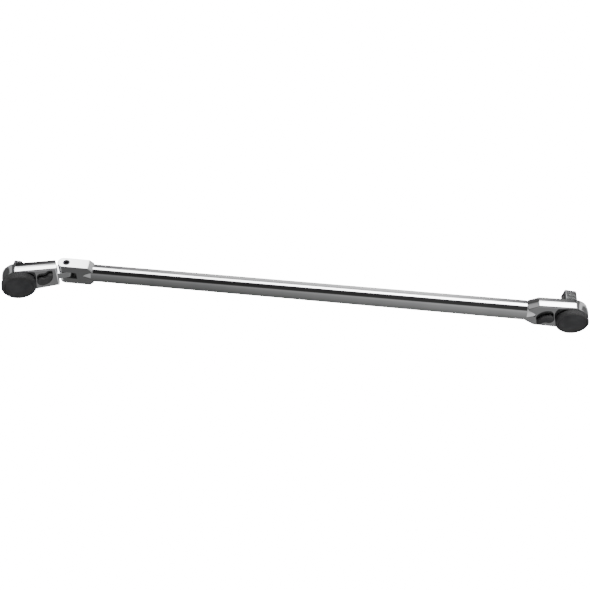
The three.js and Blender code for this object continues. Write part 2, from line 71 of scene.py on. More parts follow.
GEAR = {"teeth": 72, "tip": 9, "root": 8.5, "back": -2.4, "front": 2, "hub_r": 4.2, "hub_back": -6.2,
        "hub_step": 0.1, "bore_r": 1.5, "bore_end": -1.8, "fillet": 0.35}
TOOTH = {"tip_share": 0.1, "root_share": 0.32}
SQUARE = {"corner": 0.7, "end_round": 0.55, "edge_round": 0.12, "sunk": 1,
          "ball_out": 0.55, "ball_gap": 0.15, "ball_shift": 0.4}
DISC = {"front": -5.1, "socket_r": 4.5, "socket_depth": 1.4, "cap_r": 10.2, "cap_thick": 0.5, "ribs": 72,
        "recess": 0.9, "cap_gap": 0.25, "rib_depth": 0.12, "rim_chamfer": 0.75,
        "foot": 0.5, "foot_chamfer": 0.4, "screw_r": 1.45, "head_r": 2.6, "head_depth": 1.2,
        "fillet": 0.22, "cap_inset": 0.2, "cap_fillet": 0.15}
CAP_DISH = ((0, 0.16), (0.55, 0.13), (0.86, 0.04), (0.93, 0))  # shares of the radius, and depths
SEAL = {"middle": 3.55, "width": 1.5, "depth": 0.95}
HEADS = {
    "flex": {
        "square": 6.35, "stub_end": 14.8, "boss_end": 6.2, "journal_r": 5.2, "turn": 22, "tip_r": 12.4,
        "neck_half": 10.4, "neck_end": 29.8, "disc_r": 12.9, "disc_back": -10.4, "ball_r": 1.2,
    },
    "fixed": {
        "square": 9.525, "stub_end": 19.8, "boss_end": 6.7, "journal_r": 6.9, "turn": 6, "tip_r": 13,
        "neck_half": 12.2, "neck_end": 27.2, "disc_r": 12.35, "disc_back": -9.6, "ball_r": 1.6,
    },
}


# ---- frames: millimetres about a joint, to metres in the row frame ----
def frame_at(position, x_axis, z_axis):
    """A matrix from local millimetres to row metres, with local z along z_axis."""
    z = Vector(z_axis).normalized()
    x = Vector(x_axis)
    x = (x - z * x.dot(z)).normalized()
    y = z.cross(x)
    turn = Matrix((x, y, z)).transposed().to_4x4()
    return Matrix.Translation(Vector(position)) @ turn @ Matrix.Scale(MM, 4)


HINGE = Vector(JOINTS["flex_hinge"]["pos_m"])
TOOL = frame_at(HINGE, (1, 0, 0), (0, 0, 1))


def head_frame(prefix):
    joint = JOINTS[prefix + "_drive_spin"]
    position = Vector(joint["pos_m"])
    return frame_at(position, HINGE - position, joint["axis"])


HEAD_FRAMES = {prefix: head_frame(prefix) for prefix in HEADS}


# ---- mesh building ----
NEARLY_STRAIGHT = math.radians(172)
MOST_OF_A_SIDE = 0.45


def mesh_object(name, points, faces, place=Matrix.Identity(4)):
    mesh = bpy.data.meshes.new(name)
    mesh.from_pydata([place @ Vector(point) for point in points], [], faces)
    mesh.validate()
    obj = bpy.data.objects.new(name, mesh)
    bpy.context.scene.collection.objects.link(obj)
    tidy_mesh(mesh)
    return obj


def tidy_mesh(mesh):
    """Merges doubled points and makes every face look outwards."""
    bm = bmesh.new()
    bm.from_mesh(mesh)
    bmesh.ops.remove_doubles(bm, verts=bm.verts, dist=1e-7)
    bmesh.ops.recalc_face_normals(bm, faces=bm.faces)
    bm.to_mesh(mesh)
    bm.free()


def loft(rings):
    """Points and faces of a closed body through rings of equal length, capped at both ends."""
    count = len(rings[0])
    points = [point for ring in rings for point in ring]
    faces = []
    for row in range(len(rings) - 1):
        for i in range(count):
            j = (i + 1) % count
            a = row * count
            faces.append((a + i, a + j, a + count + j, a + count + i))
    last = (len(rings) - 1) * count
    faces.append(tuple(reversed(range(count))))
    faces.append(tuple(range(last, last + count)))
    return points, faces


def circle(radius, z, segments, centre=(0, 0)):
    return [
        (centre[0] + radius * math.cos(i * WHOLE_TURN / segments),
         centre[1] + radius * math.sin(i * WHOLE_TURN / segments), z)
        for i in range(segments)
    ]


def filleted(profile, radius, steps=8):
    """The profile with its inner corners rounded, by one radius or one for each. Short sides limit it."""
    points = [Vector(point) for point in profile]
    radii = radius if isinstance(radius, (list, tuple)) else [radius] * (len(points) - 2)
    result = [points[0]]
    for before, corner, after, corner_radius in zip(points, points[1:], points[2:], radii):
        into = before - corner
        out = after - corner
        angle = into.angle(out)
        if angle > NEARLY_STRAIGHT:
            result.append(corner)
            continue
        longest = MOST_OF_A_SIDE * min(into.length, out.length)
        reach = min(corner_radius / math.tan(angle / 2), longest)
        start = corner + into.normalized() * reach
        end = corner + out.normalized() * reach
        for step in range(steps + 1):
            t = step / steps
            result.append(start.lerp(corner, t).lerp(corner.lerp(end, t), t))
    result.append(points[-1])
    return result


def turned(name, profile, place, segments=96, fillet=0.3, shape_radius=None):
    """A body of revolution about local z. The profile is [radius, z] points up the outside."""
    outline = [Vector((r, z, 0)) for r, z in profile]
    if fillet:
        outline = filleted(outline, fillet)
    rings = []
    for r, z, _ in outline:
        ring = circle(max(r, AXIS_GAP), z, segments)
        if shape_radius:
            ring = [shape_radius(Vector(point), r, z) for point in ring]
        rings.append(ring)
    return mesh_object(name, *loft(rings), place)


def prism(name, outline, z0, z1, place):
    return mesh_object(name, *loft([[(x, y, z) for x, y in outline] for z in (z0, z1)]), place)


def cylinder(name, radius, z0, z1, place, segments=48, centre=(0, 0)):
    return mesh_object(name, *loft([circle(radius, z, segments, centre) for z in (z0, z1)]), place)


def box(name, low, high, place):
    outline = [(low[0], low[1]), (high[0], low[1]), (high[0], high[1]), (low[0], high[1])]
    return prism(name, outline, low[2], high[2], place)


def arc(centre, radius, start, end, steps):
    return [
        (centre[0] + radius * math.cos(start + (end - start) * i / steps),
         centre[1] + radius * math.sin(start + (end - start) * i / steps))
        for i in range(steps + 1)
    ]


# ---- modifiers, made permanent at once ----
def bake(obj):
    graph = bpy.context.evaluated_depsgraph_get()
    graph.update()
    mesh = bpy.data.meshes.new_from_object(obj.evaluated_get(graph))
    obj.modifiers.clear()
    obj.data = mesh
    return obj


def rounded(obj, width, segments=8, angle=30):
    modifier = obj.modifiers.new("round", "BEVEL")
    modifier.width = width * MM
    modifier.segments = segments
    modifier.limit_method = "ANGLE"
    modifier.angle_limit = math.radians(angle)
    modifier.use_clamp_overlap = True
    modifier.miter_outer = "MITER_ARC"
    return bake(obj)


def combine(obj, other, operation):
    modifier = obj.modifiers.new("combine", "BOOLEAN")
    modifier.operation = operation
    modifier.solver = "EXACT"
    modifier.material_mode = "TRANSFER"
    modifier.object = other
    if obj.data.materials and not other.data.materials:
        other.data.materials.append(obj.data.materials[0])
    bake(obj)
    bpy.data.objects.remove(other)
    return obj


def coat(obj, finish):
    obj.data.materials.clear()
    obj.data.materials.append(MATERIALS[finish])
    return obj


def cut(obj, *tools, finish=None):
    """Takes the tools away from the object. The cut faces get the finish, where one is named."""
    for tool in tools:
        if finish:
            coat(tool, finish)
        combine(obj, tool, "DIFFERENCE")
    return obj


def join(obj, *others):
    for other in others:
        combine(obj, other, "UNION")
    return obj


def smooth(obj, sharp=14):
    """Smooth shading with crisp edges over the given angle, and flats that stay flat."""
    mesh = obj.data
    bm = bmesh.new()
    bm.from_mesh(mesh)
    for face in bm.faces:
        face.smooth = True
    for edge in bm.edges:
        faces = edge.link_faces
        edge.smooth = len(faces) == 2 and edge.calc_face_angle(0) < math.radians(sharp)
    bm.to_mesh(mesh)
    bm.free()
    weighted = obj.modifiers.new("weighted", "WEIGHTED_NORMAL")
    weighted.keep_sharp = True
    weighted.weight = 90
    return bake(obj)


def dress(obj, body, slot, *nodes):
    """Gives a piece its body and hides the CAD nodes that it stands for. The slot argument is not used."""
    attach(obj, body)
    if nodes:
        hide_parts(*nodes)
    return obj


# ---- materials ----
class Nodes:
    """A short way to write a node material."""

    def __init__(self, name, color, metallic, roughness):
        self.material = bpy.data.materials.new(name)
        self.material.use_nodes = True
        self.tree = self.material.node_tree
        self.shader = self.tree.nodes["Principled BSDF"]
        self.shader.inputs["Base Color"].default_value = (*color, 1)
        self.shader.inputs["Metallic"].default_value = metallic
        self.shader.inputs["Roughness"].default_value = roughness
        self.place = self.add("ShaderNodeTexCoord").outputs["Object"]

    def add(self, kind, **values):
        node = self.tree.nodes.new(kind)
        for key, value in values.items():
            if hasattr(node, key):
                setattr(node, key, value)
            else:
                node.inputs[key.replace("_", " ")].default_value = value
        return node

    def link(self, source, target):
        self.tree.links.new(source, target)

    def noise(self, scale, detail=4, stretch=(1, 1, 1), roughness=0.55):
        mapping = self.add("ShaderNodeMapping", Scale=stretch)
        self.link(self.place, mapping.inputs["Vector"])
        noise = self.add("ShaderNodeTexNoise", Scale=scale, Detail=detail, Roughness=roughness)
        self.link(mapping.outputs["Vector"], noise.inputs["Vector"])
        return noise.outputs["Fac"]

    def ramp(self, source, low, high, start=0.35, end=0.65):
        ramp = self.add("ShaderNodeMapRange")
        self.link(source, ramp.inputs["Value"])
        for key, value in (("From Min", start), ("From Max", end), ("To Min", low), ("To Max", high)):
            ramp.inputs[key].default_value = value
        return ramp.outputs["Result"]

    def tint(self, source, low, high, start=0.35, end=0.65):
        ramp = self.add("ShaderNodeValToRGB")
        self.link(source, ramp.inputs["Fac"])
        ramp.color_ramp.elements[0].position = start
        ramp.color_ramp.elements[0].color = (*low, 1)
        ramp.color_ramp.elements[1].position = end
        ramp.color_ramp.elements[1].color = (*high, 1)
        self.link(ramp.outputs["Color"], self.shader.inputs["Base Color"])

    def roughness(self, source):
        self.link(source, self.shader.inputs["Roughness"])

    def bump(self, source, strength, distance, after=None):
        bump = self.add("ShaderNodeBump", Strength=strength, Distance=distance)
        self.link(source, bump.inputs["Height"])
        if after:
            self.link(after, bump.inputs["Normal"])
        self.link(bump.outputs["Normal"], self.shader.inputs["Normal"])
        return bump.outputs["Normal"]


def chrome():
    """Mirror-polished chrome: soft smudges, fine polishing lines along the bar, faint waviness."""
    nodes = Nodes("polished_chrome", (0.84, 0.85, 0.86), 1, 0.06)
    smudge = nodes.noise(60, 5)
    lines = nodes.noise(900, 3, (0.05, 1, 1))
    nodes.roughness(nodes.ramp(smudge, 0.035, 0.11, 0.35, 0.75))
    nodes.tint(smudge, (0.80, 0.81, 0.825), (0.88, 0.885, 0.89), 0.3, 0.7)
    first = nodes.bump(lines, 0.06, 0.00002)
    nodes.bump(nodes.noise(35, 2), 0.03, 0.0004, first)
    return nodes.material


def drive_steel():
    """Chromed drive steel, darker and duller, with rubbed marks from sockets."""
    nodes = Nodes("drive_steel", (0.4, 0.405, 0.41), 1, 0.16)
    rub = nodes.noise(700, 3)
    nodes.roughness(nodes.ramp(rub, 0.14, 0.18))
    nodes.tint(rub, (0.34, 0.345, 0.35), (0.39, 0.395, 0.4))
    nodes.bump(nodes.noise(1400, 4, (1, 1, 0.2)), 0.04, 0.00003)
    return nodes.material


def machined_steel():
    nodes = Nodes("machined_steel", (0.5, 0.5, 0.51), 1, 0.3)
    grain = nodes.noise(1100, 4, (1, 0.15, 1))
    nodes.roughness(nodes.ramp(grain, 0.24, 0.42))
    nodes.tint(nodes.noise(180, 3), (0.46, 0.46, 0.47), (0.58, 0.58, 0.59))
    nodes.bump(grain, 0.15, 0.00003)
    return nodes.material


def painted_shade_bore():
    """The unpolished walls of slots, holes and screw seats: plated thinly, and given a near-black colour that is
    painted shade for the dark inside them, mottled at random.
    """
    nodes = Nodes("painted_shade_bore", (0.06, 0.06, 0.062), 0.8, 0.45)
    mottle = nodes.noise(500, 4)
    nodes.roughness(nodes.ramp(mottle, 0.35, 0.6))
    # the near-black tint is painted shade, mottled at random
    nodes.tint(mottle, (0.035, 0.034, 0.033), (0.09, 0.09, 0.092))
    nodes.bump(mottle, 0.2, 0.00004)
    return nodes.material


def black_oxide():
    nodes = Nodes("black_oxide", (0.02, 0.02, 0.022), 0.7, 0.4)
    spots = nodes.noise(700, 5)
    nodes.roughness(nodes.ramp(spots, 0.32, 0.5))
    nodes.tint(spots, (0.014, 0.014, 0.016), (0.04, 0.04, 0.044))
    nodes.bump(spots, 0.15, 0.00004)
    return nodes.material


def black_polymer():
    """Moulded black plastic with a fine satin grain and dulled patches."""
    nodes = Nodes("black_polymer", (0.03, 0.03, 0.031), 0, 0.4)
    patches = nodes.noise(110, 4)
    nodes.roughness(nodes.ramp(patches, 0.36, 0.52))
    nodes.tint(patches, (0.026, 0.026, 0.027), (0.04, 0.04, 0.041))
    nodes.bump(nodes.noise(3200, 3), 0.25, 0.00006)
    nodes.shader.inputs["Specular IOR Level"].default_value = 0.12
    return nodes.material


def seal_rubber():
    nodes = Nodes("seal_rubber", (0.015, 0.015, 0.015), 0, 0.7)
    nodes.bump(nodes.noise(1500, 3), 0.3, 0.00005)
    return nodes.material


MATERIALS = {
    "polished_chrome": chrome(),
    "drive_steel": drive_steel(),
    "machined_steel": machined_steel(),
    # near-black painted shade for the walls of slots and holes
    "painted_shade_bore": painted_shade_bore(),
    "black_oxide": black_oxide(),
    "black_polymer": black_polymer(),
    "seal_rubber": seal_rubber(),
}


def finish_cad_nodes():
    """The inner CAD parts keep their shapes and take the record's slot materials."""
    for part in frame["record"]["subparts"]:
        node = frame["nodes"][part["node"]]
        node.data.materials.clear()
        node.data.materials.append(MATERIALS[part["material_slot"]])


# ---- shared outlines ----
def head_outline(head, shoulder=()):
    """A round tip about the drive axis and a neck that tapers to neck_half."""
    tangent = math.acos((head["tip_r"] - head["neck_half"]) / head["neck_end"])
    side = [*shoulder, (head["neck_end"], head["neck_half"])]
    tip = arc((0, 0), head["tip_r"], tangent, WHOLE_TURN - tangent, 72)
    return side + tip + [(x, -y) for x, y in reversed(side)]


def inset(outline, distance):
    """The outline moved inwards, each point along the middle of its two sides' normals."""
    count = len(outline)
    result = []
    for i, point in enumerate(outline):
        before = (Vector(point) - Vector(outline[i - 1])).normalized()
        after = (Vector(outline[(i + 1) % count]) - Vector(point)).normalized()
        side = Vector((-(before.y + after.y), before.x + after.x)).normalized()
        lean = max(0.5, side.dot(Vector((-after.y, after.x))))
        result.append(tuple(Vector(point) + side * distance / lean))
    return result


def head_plate(name, outline, place):
    """A forged head: its sides lean in from the parting line by the draft, and its edges are rounded."""
    half = BODY["half"]
    lean = half * math.tan(math.radians(BODY["draft"]))
    front = BODY["front_round"]
    back = BODY["back_round"]
    corners = [(lean + 2 * front, -half), (lean, -half), (0, 0), (lean, half), (lean + 2 * back, half)]
    section = filleted(corners, [front, BODY["crest_round"], back])
    rings = [[(x, y, point.y) for x, y in inset(outline, point.x)] for point in section[1:-1]]
    return mesh_object(name, *loft(rings), place)


def pocket_outline():
    return [(x, -y) for x, y in POCKET_CORNERS] + list(reversed(POCKET_CORNERS))


def hollow_head(body, head, place):
    """Cuts the gear cavity, ring groove, journal bore, pawl pocket and selector bore."""
    half = BODY["half"]
    centre = (SELECTOR["centre"], 0)
    low = POCKET["middle"] - POCKET["half"]
    high = POCKET["middle"] + POCKET["half"]
    sweep = (POCKET["middle"] - POCKET["sweep_half"], POCKET["middle"] + POCKET["sweep_half"])
    groove = (CAVITY["groove_back"], CAVITY["groove_front"])
    bore_end = SELECTOR["bottom"] + CLEARANCE
    pin = (PAWL_PIN["x"], 0)
    return cut(
        body,
        cylinder("cavity", CAVITY["radius"], -half - OVERCUT, CAVITY["floor"], place, 96),
        cylinder("groove", CAVITY["groove_r"], *groove, place, 96),
        cylinder("journal", head["journal_r"] + CLEARANCE, 0, half + OVERCUT, place, 96),
        prism("pocket", pocket_outline(), low, high, place),
        cylinder("sweep", POCKET["sweep_r"], *sweep, place, 48, centre),
        cylinder("selector_bore", SELECTOR["bore_r"], -half - OVERCUT, bore_end, place, 48, centre),
        cylinder("pin_hole", PAWL_PIN["hole"], PAWL_PIN["back"], half + OVERCUT, place, 24, pin),
        finish="machined_steel",
    )


# ---- the bar ----
def clevis_block():
    """The ears' round ends are in plan, and the bar end's corners are cut back."""
    thick = CLEVIS["thick"]
    wide = CLEVIS["wide"]
    end = CLEVIS["end"] + CLEVIS["chamfer"]
    round_x = CLEVIS["tip"] + thick
    plan = [(end, -thick), (end, thick)] + arc((round_x, 0), thick, math.pi / 2, 1.5 * math.pi, 48)
    block = prism("clevis", plan, -wide, wide, TOOL)
    for side in (-1, 1):
        corner = [(CLEVIS["end"], wide), (end, wide - CLEVIS["chamfer"]), (end + OVERCUT, wide + OVERCUT)]
        rings = [[(x, y, side * z) for x, z in corner] for y in (-PAST_CLEVIS, PAST_CLEVIS)]
        cutter = mesh_object("corner", *loft(rings), TOOL)
        cut(block, cutter)
    return rounded(block, CLEVIS["round"])


def bar_body():
    tuck_x = CLEVIS["end"] - BAR["tuck"]
    profile = [
        (0, tuck_x), (BAR["tuck_r"], tuck_x), (BAR["start_r"], BAR["start_x"]),
        (BAR["end_r"], BAR["end_x"]), (BAR["tuck_r"], BAR["cone_x"]), (0, BAR["cone_x"]),
    ]
    along_x = TOOL @ Matrix.Rotation(math.pi / 2, 4, "Y")
    return turned("bar", profile, along_x, 128, BAR["fillet"])


def handle_bar():
    head = HEADS["fixed"]
    place = HEAD_FRAMES["fixed"]
    bar_length = (Vector(JOINTS["fixed_drive_spin"]["pos_m"]) - HINGE).length / MM
    shoulder = [(bar_length - BAR["end_x"], BAR["end_r"])]
    plate = head_plate("fixed_plate", head_outline(head, shoulder), place)
    handle = coat(join(clevis_block(), bar_body(), plate), "polished_chrome")
    handle.name = "handle_forging"
    hollow_head(handle, head, place)
    seat = CLEVIS["wide"] - SCREW["inset"] - SCREW["head_height"] - CLEARANCE
    slot_low = (-PAST_CLEVIS, -PAST_CLEVIS, -SLOT["half"])
    slot_high = (SLOT["end"], PAST_CLEVIS, SLOT["half"])
    along_x = TOOL @ Matrix.Rotation(math.pi / 2, 4, "Y")
    # The walls of the slot, screw hole, screw seat and plunger bore take the near-black painted shade.
    cut(
        handle,
        box("slot", slot_low, slot_high, TOOL),
        cylinder("screw_hole", SCREW["shank_r"] + SCREW["hole_gap"], -PAST_EARS, PAST_EARS, TOOL, 48),
        cylinder("screw_seat", SCREW["head_r"] + SCREW["seat_gap"], seat, PAST_EARS, TOOL, 48),
        cylinder("plunger_bore", SLOT["bore_r"], SLOT["end"] - OVERCUT, SLOT["bore_end"], along_x, 32),
        finish="painted_shade_bore",
    )
    return dress(smooth(handle), "handle", "polished_chrome", "handle_bar")


def hinge_screw():
    top = CLEVIS["wide"] - SCREW["inset"]
    profile = [
        (0, -top), (SCREW["shank_r"], -top), (SCREW["shank_r"], top - SCREW["head_height"]),
        (SCREW["head_r"], top - SCREW["head_height"]), (SCREW["head_r"], top), (0, top),
    ]
    screw = coat(turned("hinge_socket_screw", profile, TOOL, 64, SCREW["fillet"]), "black_oxide")
    cut(screw, cylinder("hex", SCREW["hex_r"], top - SCREW["hex_depth"], top + OVERCUT, TOOL, 6))
    return dress(smooth(screw), "handle", "black_oxide", "hinge_screw")


# ---- the flex head's body ----
def flex_body():
    head = HEADS["flex"]
    place = HEAD_FRAMES["flex"]
    plate = head_plate("flex_head_housing", head_outline(head), place)
    hinge_local = place.inverted() @ HINGE
    at_hinge = Matrix.Translation((hinge_local.x, 0, hinge_local.z))
    lying = place @ at_hinge @ Matrix.Rotation(math.pi / 2, 4, "X")
    start = head["neck_end"] - TONGUE["overlap"] - hinge_local.x
    radius = TONGUE["radius"]
    side = [(start, radius), (start, -radius)] + arc((0, 0), radius, -math.pi / 2, math.pi / 2, 40)
    tongue = prism("tongue", side, -TONGUE["half"], TONGUE["half"], lying)
    rounded(tongue, TONGUE["round"])
    coat(join(plate, tongue), "polished_chrome")
    hollow_head(plate, head, place)
    cut(plate, cylinder("pin_bore", TONGUE["hole"], -PAST_EARS, PAST_EARS, lying, 48))
    return dress(smooth(plate), "flex_head", "polished_chrome", "flex_head_body")


# ---- drive ----
def gear_outline():
    tip = TOOTH["tip_share"]
    root = TOOTH["root_share"]
    corners = ((-root, GEAR["root"]), (-tip, GEAR["tip"]), (tip, GEAR["tip"]), (root, GEAR["root"]))
    pitch = WHOLE_TURN / GEAR["teeth"]
    return [
        (radius * math.cos((tooth + offset) * pitch), radius * math.sin((tooth + offset) * pitch))
        for tooth in range(GEAR["teeth"]) for offset, radius in corners
    ]


def drive_gear(prefix):
    head = HEADS[prefix]
    place = HEAD_FRAMES[prefix]
    journal_r = head["journal_r"]
    groove = (SEAL["middle"] - SEAL["width"] / 2, SEAL["middle"] + SEAL["width"] / 2)
    step = GEAR["back"] + GEAR["hub_step"]
    profile = [
        (0, GEAR["hub_back"]), (GEAR["hub_r"], GEAR["hub_back"]), (GEAR["hub_r"], step),
        (journal_r, step), (journal_r, groove[0]), (journal_r - SEAL["depth"], groove[0]),
        (journal_r - SEAL["depth"], groove[1]), (journal_r, groove[1]),
        (journal_r, head["boss_end"]), (0, head["boss_end"]),
    ]
    journal = turned(prefix + "_drive", profile, place, 96, GEAR["fillet"])
    teeth = prism("teeth", gear_outline(), GEAR["back"], GEAR["front"], place)
    turn = place @ Matrix.Rotation(math.radians(head["turn"]), 4, "Z")
    half = head["square"] / 2
    inner = half - SQUARE["corner"]
    square = [(half, -inner), (half, inner), (inner, half), (-inner, half),
              (-half, inner), (-half, -inner), (-inner, -half), (inner, -half)]
    stub = prism("stub", square, head["boss_end"] - SQUARE["sunk"], head["stub_end"], turn)
    rounded(stub, SQUARE["end_round"], 8, 60)
    rounded(stub, SQUARE["edge_round"], 2, 25)
    along_x = turn @ Matrix.Translation((0, 0, ball_height(head))) @ Matrix.Rotation(math.pi / 2, 4, "Y")
    bore_r = head["ball_r"] + SQUARE["ball_gap"]
    cut(stub, cylinder("ball_bore", bore_r, -half / 2, half * 2, along_x, 40))
    coat(join(journal, teeth, stub), "drive_steel")
    bore = (GEAR["hub_back"] - OVERCUT, GEAR["bore_end"])
    cut(journal, cylinder("screw_bore", GEAR["bore_r"], *bore, place, 32))
    return dress(smooth(journal), prefix + "_drive", "drive_steel", prefix + "_drive_gear")


def ball_height(head):
    return head["stub_end"] - head["square"] / 2 + SQUARE["ball_shift"]


def square_ball(prefix):
    head = HEADS[prefix]
    place = HEAD_FRAMES[prefix] @ Matrix.Rotation(math.radians(head["turn"]), 4, "Z")
    centre_x = head["square"] / 2 - head["ball_r"] + SQUARE["ball_out"]
    place = place @ Matrix.Translation((centre_x, 0, ball_height(head)))
    radius = head["ball_r"]
    steps = 24
    profile = [
        (radius * math.sin(i * math.pi / steps), -radius * math.cos(i * math.pi / steps))
        for i in range(steps + 1)
    ]
    ball = turned(prefix + "_socket_ball", profile, place, 48, 0)
    coat(ball, "machined_steel")
    return dress(smooth(ball), prefix + "_square_ball", "machined_steel", prefix + "_square_ball")


# ---- thumb disc and its cap ----
def thumb_disc(prefix):
    head = HEADS[prefix]
    place = HEAD_FRAMES[prefix]
    radius = head["disc_r"]
    back = head["disc_back"]
    front = DISC["front"]
    rim = back + DISC["recess"]
    foot = front - DISC["foot"]
    seat_r = DISC["cap_r"] + DISC["cap_gap"]

    def ribbed(point, r, z):
        if r < radius - 0.05 or z < rim or z > foot:
            return point
        angle = math.atan2(point.y, point.x)
        groove = DISC["rib_depth"] * (0.5 - 0.5 * math.cos(DISC["ribs"] * angle)) ** 2
        scale = (r - groove) / r
        return (point.x * scale, point.y * scale, point.z)

    profile = [
        (0, rim), (seat_r, rim), (seat_r, back),
        (radius - DISC["rim_chamfer"], back), (radius, rim - 0.1), (radius, rim + 0.05),
        (radius, foot - 0.05),
        (radius, foot), (radius - DISC["foot_chamfer"], front), (DISC["socket_r"], front),
        (DISC["socket_r"], front - DISC["socket_depth"]), (0, front - DISC["socket_depth"]),
    ]
    disc = turned(prefix + "_spin_disc", profile, place, 432, DISC["fillet"], ribbed)
    coat(disc, "black_polymer")
    cut(
        disc,
        cylinder("screw_way", DISC["screw_r"], back, front, place, 32),
        cylinder("head_way", DISC["head_r"], back, rim + DISC["head_depth"], place, 40),
    )
    return dress(smooth(disc, 40), prefix + "_drive", "black_polymer", prefix + "_thumb_disc")


def disc_cap(prefix):
    head = HEADS[prefix]
    back = head["disc_back"] + DISC["cap_inset"]
    front = back + DISC["cap_thick"]
    radius = DISC["cap_r"]
    profile = [(radius * share, back + depth) for share, depth in CAP_DISH]
    profile += [(radius, back), (radius, front), (0, front)]
    cap = turned(prefix + "_disc_insert", profile, HEAD_FRAMES[prefix], 160, DISC["cap_fillet"])
    coat(cap, "black_polymer")
    return dress(smooth(cap), prefix + "_drive", "black_polymer", prefix + "_disc_cap")


# ---- selector lever ----
def quadratic(start, control, end, steps=14):
    points = []
    for i in range(1, steps + 1):
        t = i / steps
        a = Vector(start).lerp(Vector(control), t)
        b = Vector(control).lerp(Vector(end), t)
        points.append(tuple(a.lerp(b, t)))
    return points


def lever_outline():
    """A round hub that a hollow side, a tip, an end and an arched back lead out of and into."""
    hub = arc((0, 0), SELECTOR["hub_r"], math.radians(LEVER["hub_from"]), math.radians(LEVER["hub_to"]), 40)
    points = list(hub)
    for control, end in LEVER_CURVES:
        points += quadratic(points[-1], control, end)
    points += quadratic(points[-1], LEVER["return"], hub[0])
    return points[:-1]


def selector_lever(prefix):
    place = HEAD_FRAMES[prefix] @ Matrix.Translation((SELECTOR["centre"], 0, 0))
    lever = prism(prefix + "_direction_lever", lever_outline(), LEVER["back"], LEVER["front"], place)
    rounded(lever, LEVER["round"], 8, 50)
    shaft_back = LEVER["front"] - LEVER["overlap"]
    shaft = cylinder("shaft", SELECTOR["shaft_r"], shaft_back, SELECTOR["bottom"], place, 64)
    away = Matrix.Rotation(math.radians(SELECTOR["tail"] + 180), 4, "Z")
    at_pawl = Matrix.Translation((0, 0, POCKET["middle"]))
    across = place @ away @ at_pawl @ Matrix.Rotation(math.pi / 2, 4, "Y")
    bore = (LEVER["bore_wall"] - SELECTOR["shaft_r"], SELECTOR["shaft_r"] + OVERCUT)
    coat(join(lever, shaft), "black_polymer")
    cut(lever, cylinder("plunger_bore", LEVER["bore_r"], *bore, across, 24))
    return dress(smooth(lever), prefix + "_selector", "black_polymer", prefix + "_selector_lever")


# ---- studio ----
# Brightness all round the tool, by the angle in degrees that starts level in front, rises over the
# tool and comes down behind it. Angles below level are negative.
SOFTBOX = 9
FRONT = [(-60, 0.14), (-40, 0.17), (10, 0.24), (34, 0.32), (40, 0.28), (46, 0.035)]
OVERHEAD = [(96, 0.035), (101, SOFTBOX)]
SIDES = [(0.36, 0.2), (0.55, 0.1), (0.62, 0.6), (0.74, 0.6), (0.82, 0.12), (1, 0.12)]
LIGHT_BACKDROP = {"softbox_end": 122, "near": 0.5, "far": 0.9}
DARK_BACKDROP = {"softbox_end": 131, "near": 0.035, "far": 0.035}
SOFTBOX_EDGE = 2.5
TO_ENDS = (0.1, 0.26, 0, 1)
TO_SIDES = (0.3, 0.36, 0, 1)
LEFT_TO_RIGHT = (-0.2, 0.25, 0.72, 1.35)
PAPER = 16  # the strength of the white that the camera sees behind and under the tool
LAMPS = (
    ("front_fill", (0, -1.3, 0.9), 2.4, 1.2, 40),
    ("top_fill", (0, 0.9, 1.5), 2.4, 1.2, 10),
)


def all_round(backdrop):
    """The whole ring of brightness, with the softbox's far edge and the backdrop behind the tool."""
    end = backdrop["softbox_end"]
    far = backdrop["far"]
    behind = [(-180, far), (-128, far), (-118, 0.12)]
    beyond = [(end, SOFTBOX), (end + SOFTBOX_EDGE, backdrop["near"]), (158, far)]
    turns = behind + FRONT + OVERHEAD + beyond
    return [((angle + 180) / 360, brightness) for angle, brightness in turns]


class World:
    """A short way to write the studio's world from the direction of a ray."""

    def __init__(self):
        self.world = bpy.data.worlds.new("studio")
        self.world.use_nodes = True
        self.tree = self.world.node_tree
        direction = self.add("ShaderNodeSeparateXYZ")
        self.link(self.add("ShaderNodeTexCoord").outputs["Generated"], direction.inputs[0])
        self.across, self.depth, self.height = direction.outputs

    def add(self, kind, **values):
        node = self.tree.nodes.new(kind)
        for key, value in values.items():
            setattr(node, key, value)
        return node

    def link(self, source, target):
        self.tree.links.new(source, target)

    def math(self, operation, *values):
        node = self.add("ShaderNodeMath", operation=operation)
        for socket, value in zip(node.inputs, values):
            if isinstance(value, (int, float)):
                socket.default_value = value
            else:
                self.link(value, socket)
        return node.outputs[0]

    def fade(self, source, start, end, low, high):
        node = self.add("ShaderNodeMapRange", interpolation_type="SMOOTHSTEP")
        self.link(source, node.inputs["Value"])
        for key, value in (("From Min", start), ("From Max", end), ("To Min", low), ("To Max", high)):
            node.inputs[key].default_value = value
        return node.outputs["Result"]

    def ring(self, turn, stops):
        """Brightness by place on a ramp, which holds shares of the softbox."""
        node = self.add("ShaderNodeValToRGB")
        ramp = node.color_ramp
        while len(ramp.elements) < len(stops):
            ramp.elements.new(0.5)
        for element, (position, brightness) in zip(ramp.elements, stops):
            element.position = position
            share = brightness / SOFTBOX
            element.color = (share, share, share, 1)
        self.link(turn, node.inputs["Fac"])
        return node.outputs["Color"]

    def mix(self, share, first, second):
        node = self.add("ShaderNodeMix", data_type="RGBA")
        self.link(share, node.inputs[0])
        for socket, value in ((node.inputs[6], first), (node.inputs[7], second)):
            if isinstance(value, (int, float)):
                socket.default_value = (value, value, value, 1)
            else:
                self.link(value, socket)
        return node.outputs[2]


